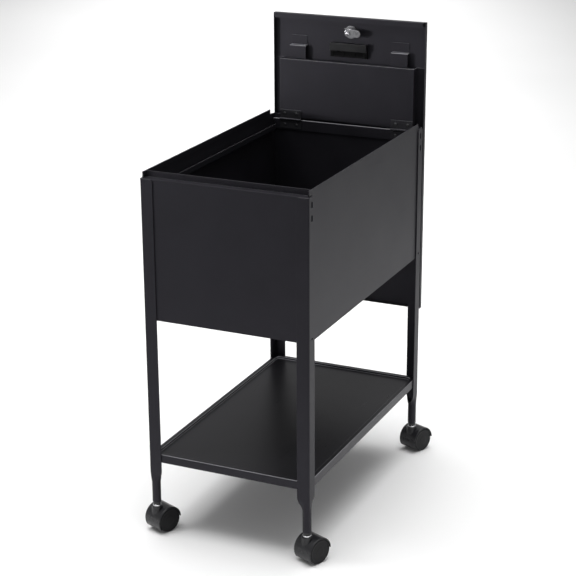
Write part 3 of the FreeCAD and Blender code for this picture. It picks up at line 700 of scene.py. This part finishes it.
def hood_mesh():
    """a hood: a rounded drum open over each wheel, a web, and the neck round the stem"""
    radius, inside, half, web, edge, lip = 28.0, 25.8, 22.6, 3.2, 1.6, 0.27
    profile = [(-half, inside + lip), (-half, radius - edge)]
    for angle in map(math.radians, (160, 135, 112, 90)):
        along = -half + edge + edge * math.cos(angle)
        profile.append((along, radius - edge + edge * math.sin(angle)))
    profile += [(-x, r) for x, r in profile[::-1]]
    profile += [(half - 0.5, inside), (web + 1.2, inside), (web, inside - 1.2), (web, 0.0)]
    profile += [(-web, 0.0), (-web, inside - 1.2), (-web - 1.2, inside), (-half + 0.5, inside)]
    drum = turn_round(scaled(profile), "x", 96)
    drum.transform(TO_AXLE)
    neck_line = [(20.0, 0.0), (20.0, 10.8), (54.3, 10.8), (55.1, 10.5), (55.5, 9.8), (55.5, 0.0)]
    neck = turn_round(scaled(neck_line), "z", 64)
    spaces = []
    for way in (-1, 1):
        line = [(way * web, 0.0), (way * web, inside), (way * 40.0, inside), (way * 40.0, 0.0)]
        space = turn_round(scaled(line), "x", 96)
        space.transform(TO_AXLE)
        spaces.append(space)
    neck = combine(neck, join(*spaces), "DIFFERENCE")
    body = combine(drum, neck, "UNION")
    block = prism(scaled([(-60, -60), (60, -60), (60, 0), (-60, 0)]), "x", -60 * MM, 60 * MM)
    low, slope = Vector((0.0, TRAIL, 17.0)) * MM, math.radians(20)
    block.transform(Matrix.Translation(low) @ Matrix.Rotation(slope, 4, "X"))
    bore = prism(scaled(circle(5.0, 40)), "z", 49.6 * MM, 60 * MM)
    axle = prism(scaled(circle(AXLE_RADIUS, 32, (TRAIL, WHEEL_RADIUS))), "x", -30 * MM, 30 * MM)
    body = combine(body, join(block, bore, axle), "DIFFERENCE")
    up = Vector((0.0, -math.sin(slope), math.cos(slope)))

    def on_cut(edge):
        return all(abs((vert.co - low).dot(up)) < 5e-5 for vert in edge.verts)

    round_all(body, 0.5, 2, math.radians(40), keep=on_cut)
    return body


def wheel_mesh():
    """a wheel with a crowned tread, a rimmed outer face with a raised cap, and a dished back"""
    inner, outer, radius = 3.9, 21.9, WHEEL_RADIUS
    line = [(inner, 3.05), (inner, 8.5), (inner + 2.0, 9.2), (inner + 2.0, 19.6), (inner, 20.4)]
    line += [(inner, 22.8)] + arc((inner + 2.2, radius - 2.2), 2.2, 180, 90, 6)
    line += [((inner + outer) / 2, radius)]
    line += arc((outer - 2.6, radius - 2.6), 2.6, 90, 0, 7)
    line += [(outer, 21.6), (outer - 0.15, 21.1), (outer - 0.4, 20.6), (outer - 0.45, 20.0)]
    line += [(outer - 0.3, 15.0), (outer - 0.32, 10.6), (outer - 0.3, 9.8), (outer - 0.1, 9.2)]
    line += [(outer - 0.03, 8.4), (outer, 4.0), (outer, 0.0)]
    line += [(20.65, 0.0), (20.65, 3.05)]
    bm = turn_round(scaled(line), "x", 96)
    wear_and_highlight = bm.verts.layers.float.new("wear_and_highlight")
    for vert in bm.verts:
        reach = math.hypot(vert.co.y, vert.co.z)
        if reach > 24.2 * MM:
            vert[wear_and_highlight] = 1.0
    return bm


def stem_mesh():
    """a steel stem with a bright domed collar, a groove near its top and a rounded tip"""
    line = [(49.6, 0.0), (49.6, 4.6), (50.0, 5.0), (55.5, 5.0), (55.5, 7.9), (55.8, 8.3)]
    line += [(56.4, 8.4), (58.2, 8.4), (58.8, 8.1), (59.2, 7.4), (59.2, 5.0)]
    line += [(96.0, 5.0), (97.0, 4.2), (101.0, 4.2), (102.0, 5.0)]
    line += [(105.5, 5.0), (107.4, 4.0), (108.0, 2.4), (108.0, 0.0)]
    return turn_round(scaled(line), "z", 48)


def socket_mesh():
    """the sleeve in a leg's foot, with a rounded flange under it"""
    line = [(59.6, 5.05), (59.6, 6.9), (59.9, 7.4), (60.6, 7.6), (64.4, 7.6), (64.9, 7.3), (65.0, 6.4)]
    line += [(111.0, 6.4), (112.0, 5.9), (112.0, 5.05)]
    return turn_round(scaled(line), "z", 48)


def axle_mesh():
    half, chamfer = 20.4, 0.5
    line = [(-half, 0.0), (-half, AXLE_RADIUS - chamfer), (-half + chamfer, AXLE_RADIUS)]
    line += [(half - chamfer, AXLE_RADIUS), (half, AXLE_RADIUS - chamfer), (half, 0.0)]
    return turn_round(scaled(line), "x", 32)


def casters():
    meshes = {
        "hood": share(hood_mesh(), "hood", LOOKS["caster_plastic"]),
        "stem": share(stem_mesh(), "stem", LOOKS["caster_chrome"]),
        "axle": share(axle_mesh(), "axle", LOOKS["axle_steel"]),
        "socket": share(socket_mesh(), "socket", LOOKS["socket_plastic"]),
        "wheel": share(wheel_mesh(), "wheel", LOOKS["wheel_plastic"]),
    }
    flip = Matrix.Rotation(math.pi, 4, "Z")
    for end in ENDS:
        for side in SIDES:
            place = caster_place(end, side)
            tag = f"{end}_{side}"
            finish(f"caster_hood_{tag}", meshes["hood"], place)
            finish(f"caster_stem_{tag}", meshes["stem"], place)
            finish(f"caster_socket_{tag}", meshes["socket"], place)
            finish(f"caster_axle_{tag}", meshes["axle"], place @ TO_AXLE)
            finish(f"wheel_{tag}_outer", meshes["wheel"], place @ TO_AXLE)
            finish(f"wheel_{tag}_inner", meshes["wheel"], place @ TO_AXLE @ flip)


# ---------------------------------------------------------------- the lid's fittings


def lock():
    """the cam lock's pieces, turned about an axis along y"""
    low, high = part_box("lock_washer")
    centre = Vector(((low.x + high.x) / 2, 0.0, (low.z + high.z) / 2))
    panel = high.y / MM
    place = Matrix.Translation(centre)
    threads = []
    y = panel - 15.1
    line = [(y, 5.65), (y, 7.4)]
    while y < panel - 1.0:
        line += [(y + 0.35, 8.0), (y + 0.65, 8.0), (y + 0.9, 7.5)]
        y += 1.0
    outside = panel + 0.9
    line += [(panel, 7.95), (outside, 7.95), (outside, 11.6), (outside + 0.5, 12.0)]
    line += [(outside + 1.0, 11.8), (outside + 1.5, 11.0), (outside + 1.6, 10.2), (outside + 1.6, 5.65)]
    finish("lock_barrel", turn_round(scaled(line), "y", 64), place)
    washer = cad_mesh("lock_washer")
    round_all(washer, 0.35, 2, math.radians(60))
    finish("lock_washer", washer)
    nut = cad_mesh("lock_nut")
    round_all(nut, 0.45, 2, math.radians(50))
    finish("lock_nut", nut)
    for node, radius in (("lock_plug", 0.25), ("lock_cam", 0.35)):
        bm = cad_mesh(node)
        round_all(bm, radius, 2, math.radians(60))
        finish(node, bm)
    low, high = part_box("lock_cam_screw")
    face, back = low.y / MM, high.y / MM
    line = [(face + 1.4, 0.0), (face + 1.2, 1.55), (face + 0.15, 1.75), (face, 2.1)]
    line += [(face + 0.05, 2.9), (face + 0.5, 3.6), (face + 1.1, 4.0), (back, 4.0), (back, 0.0)]
    finish("lock_cam_screw", turn_round(scaled(line), "y", 48), place)


def fittings():
    pull = cad_mesh("finger_pull")
    round_all(pull, 0.7, 3, math.radians(50))
    front, step_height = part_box("finger_pull")[0].y, 865.4 * MM
    # painted shade: points deep in the finger pull's lower recess are marked, so its plastic is painted
    # darker there
    painted_recess_shade = pull.verts.layers.float.new("painted_recess_shade")
    for vert in pull.verts:
        depth = vert.co.y - front
        if 4.5 * MM < depth < 11.0 * MM and vert.co.z < step_height:
            vert[painted_recess_shade] = 1.0
    finish("finger_pull", pull)
    for side in SIDES:
        sheet(f"lid_stop_{side}", 1.2, fold=1.9, inside=1.2, trim=0.25)
        for kind in ("fixed", "moving"):
            bm = cad_mesh(f"hinge_leaf_{kind}_{side}")
            round_all(bm, 0.22, 2, math.radians(55))
            finish(f"hinge_leaf_{kind}_{side}", bm)
        bm = cad_mesh(f"hinge_pin_{side}")
        round_all(bm, 0.15, 2, math.radians(55))
        finish(f"hinge_pin_{side}", bm)
    for kind in ("fixed", "moving"):
        screws(f"hinge_screws_{kind}")


def screws(node):
    """domed screw heads with a crossed recess, one on each place of the CAD group"""
    low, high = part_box(node)
    parts = []
    height = (low.z + high.z) / 2
    hinge_middle, screw_offset = 125.5, 13.5
    seat, crown = high.y / MM, low.y / MM
    for side in SIDES.values():
        for way in (-1, 1):
            x = CART.x + side * (hinge_middle + way * screw_offset) * MM
            line = [(seat, 0.0), (seat, 3.0), (seat - 0.25, 2.95)]
            line += [(seat - 0.6, 2.5), (seat - 0.9, 1.6), (crown, 0.7), (crown, 0.0)]
            head = turn_round(scaled(line), "y", 32)
            arms = []
            for wide, tall in ((1.5, 0.35), (0.35, 1.5)):
                outline = [(-wide, -tall), (wide, -tall), (wide, tall), (-wide, tall)]
                arms.append(prism(scaled(outline), "y", low.y - 0.001, low.y + 0.0005))
            for arm in arms:
                head = combine(head, arm, "DIFFERENCE")
            head.transform(Matrix.Translation(Vector((x, 0.0, height))))
            parts.append(head)
    return finish(node, join(*parts))


def build():
    for end in ENDS:
        for side in SIDES:
            leg(end, side)
    for side in SIDES:
        sheet(f"side_wall_{side}", 1.0, wear_and_highlight=0.15, fold=1.1, inside=0.4)
        sheet(f"folder_rail_{side}", 1.2)
    sheet("front_panel", 1.0, fold=1.5)
    sheet("rear_panel", 1.0, fold=1.5)
    sheet("tub_floor", 1.0)
    sheet("lid_carrier", 1.0, fold=1.8)
    sheet("lid_panel", 0.9, fold=1.8)
    shelf()
    casters()
    lock()
    fittings()


# ---------------------------------------------------------------- studio


def camera():
    """the viewpoint: a little above the cart, from its front right, through a long lens"""
    azimuth, elevation, roll = map(math.radians, (24.675, 19.088, -0.322))
    back = Vector(
        (
            math.sin(azimuth) * math.cos(elevation),
            -math.cos(azimuth) * math.cos(elevation),
            math.sin(elevation),
        )
    )
    right = Vector((math.cos(azimuth), math.sin(azimuth), 0.0))
    up = back.cross(right)
    target, distance = at(-9.26, 300.0, 436.1), 3.351
    data = bpy.data.cameras.new("camera")
    data.lens = 104.3
    data.sensor_width = 36.0
    data.clip_end = 200.0
    seen = bpy.data.objects.new("camera", data)
    bpy.context.scene.collection.objects.link(seen)
    across = right * math.cos(roll) + up * math.sin(roll)
    above = up * math.cos(roll) - right * math.sin(roll)
    turn = Matrix((across, above, back)).transposed().to_4x4()
    seen.matrix_world = Matrix.Translation(target + back * distance) @ turn
    bpy.context.scene.camera = seen


def lamp(name, place, aim, size, power, turn=0.0, spread=180.0):
    data = bpy.data.lights.new(name, "AREA")
    data.shape = "RECTANGLE"
    data.size, data.size_y = size
    data.energy = power
    data.spread = math.radians(spread)
    thing = bpy.data.objects.new(name, data)
    bpy.context.scene.collection.objects.link(thing)
    thing.location = place
    thing.rotation_mode = "QUATERNION"
    way = Vector(aim) - Vector(place)
    thing.rotation_quaternion = way.to_track_quat("-Z", "Y")
    if turn:
        thing.rotation_mode = "XYZ"
        thing.rotation_euler = (0.0, 0.0, math.radians(turn))
    thing.visible_camera = False
    return thing


def studio():
    """a pale floor, a long soft light over it and behind the cart, and soft lights on the cart"""
    bm = bmesh.new()
    bmesh.ops.create_grid(bm, x_segments=2, y_segments=2, size=30.0)
    mesh = bpy.data.meshes.new("floor")
    bm.to_mesh(mesh)
    bm.free()
    ground = Paint("floor", Specular_IOR_Level=0.1)
    cloud = ground.noise(900.0, 2.0, 0.5)
    tone = ground.blend(ground.span(cloud, 0.3, 0.7, 0.0, 1.0), (0.86, 0.86, 0.86), (0.88, 0.88, 0.88))
    ground.finish(tone, ground.span(cloud, 0.3, 0.7, 0.8, 0.9), ground.bump(cloud, 0.1, 0.1))
    mesh.materials.append(ground.material)
    floor = bpy.data.objects.new("floor", mesh)
    bpy.context.scene.collection.objects.link(floor)
    world = bpy.data.worlds.new("studio")
    bpy.context.scene.world = world
    world.use_nodes = True
    sky = world.node_tree.nodes["Background"]
    sky.inputs["Color"].default_value = (1.0, 1.0, 1.0, 1.0)
    sky.inputs["Strength"].default_value = 0.42
    lamp("backdrop", (-1.3, 2.6, 2.6), (0.0, 0.0, 0.0), (2.9, 8.6), 80.0, turn=24.7, spread=70.0)
    lamp("floor_right", (0.9, 1.3, 1.8), (0.9, 1.3, 0.0), (1.0, 1.6), 2.0, spread=60.0)
    lamp("key", (-2.9, -2.3, 1.0), (0.06, 0.35, 0.93), (0.5, 0.5), 1.0, spread=17.0)
    lamp("over", (-1.35, -1.1, 3.1), (0.0, 0.0, 0.6), (0.5, 0.5), 15.0)
    scene = bpy.context.scene
    scene.view_settings.view_transform = "Standard"
    scene.view_settings.look = "None"


camera()
build()
studio()
